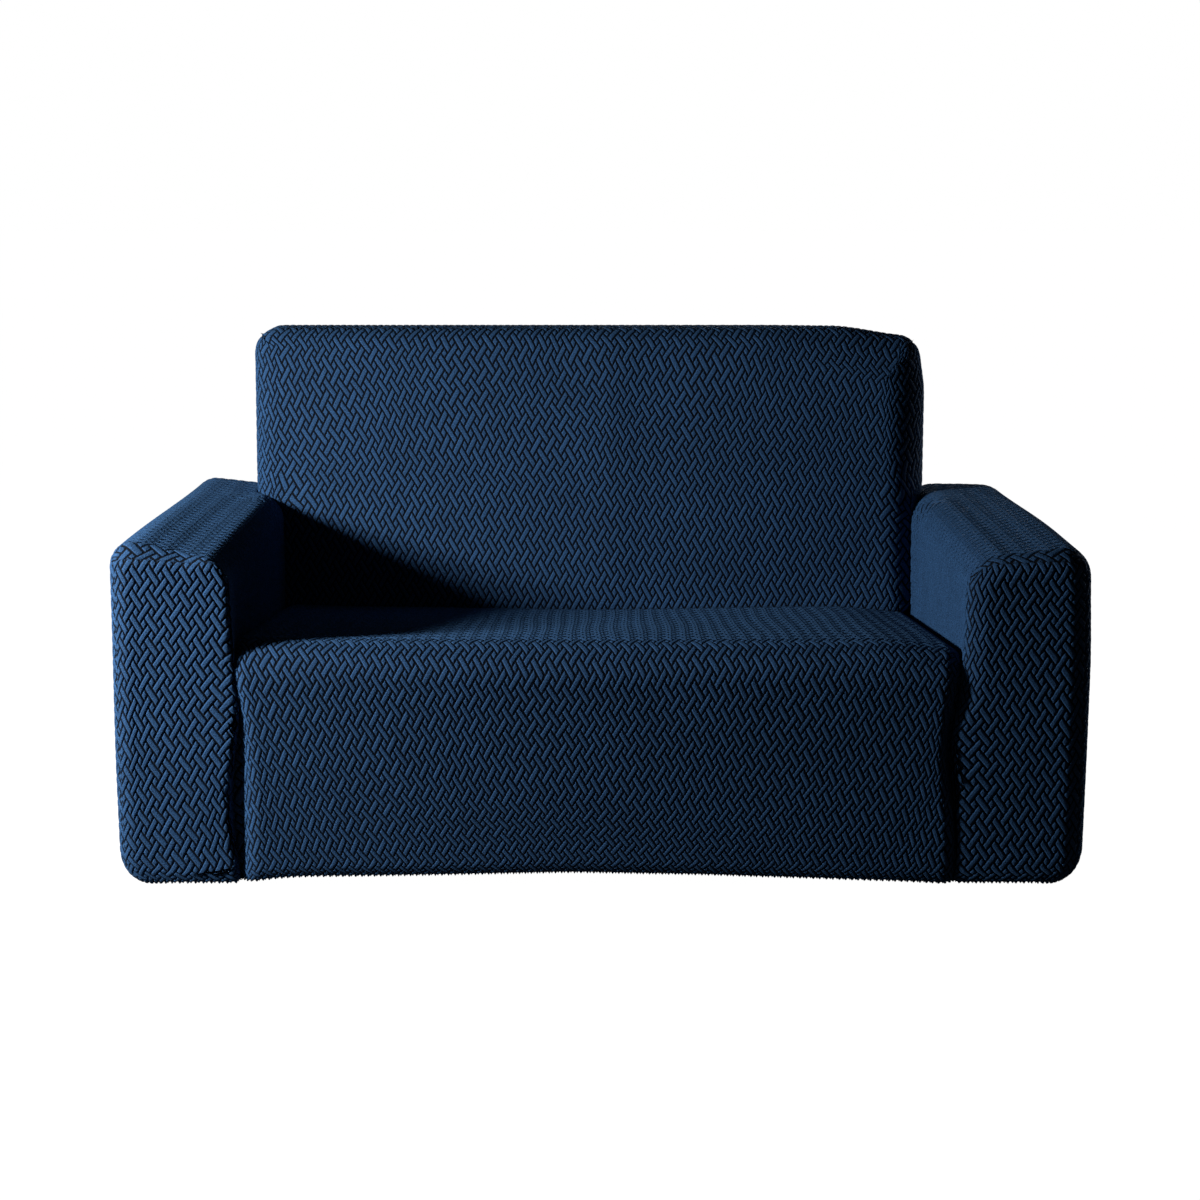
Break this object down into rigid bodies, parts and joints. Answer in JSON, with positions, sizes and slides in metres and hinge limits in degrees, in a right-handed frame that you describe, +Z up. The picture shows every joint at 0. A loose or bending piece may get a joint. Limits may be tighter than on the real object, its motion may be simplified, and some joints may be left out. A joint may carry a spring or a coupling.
{
  "type": "two-seat sofa slipcover",
  "caption": "Fitted stretch cover for a two-seat sofa, hollow and open underneath, sewn from seven panels of thick knitted cloth.",
  "frame": {"origin": "middle of the footprint, level with the lowest hem", "axes": "+X across the sofa, to the right of someone who faces it; -Y to the front; +Z up"},
  "size_m": [1.5978, 0.876, 0.8579],
  "materials": {
    "cloth": "thick stretch knit with a raised diagonal basket relief, matt and slightly fuzzy"
  },
  "bodies": {
    "root": {"back_front": "cloth", "back_rear": "cloth", "seat_skirt": "cloth", "arm_left_wrap": "cloth", "arm_left_front": "cloth", "arm_right_wrap": "cloth", "arm_right_front": "cloth"}
  },
  "joints": []
}
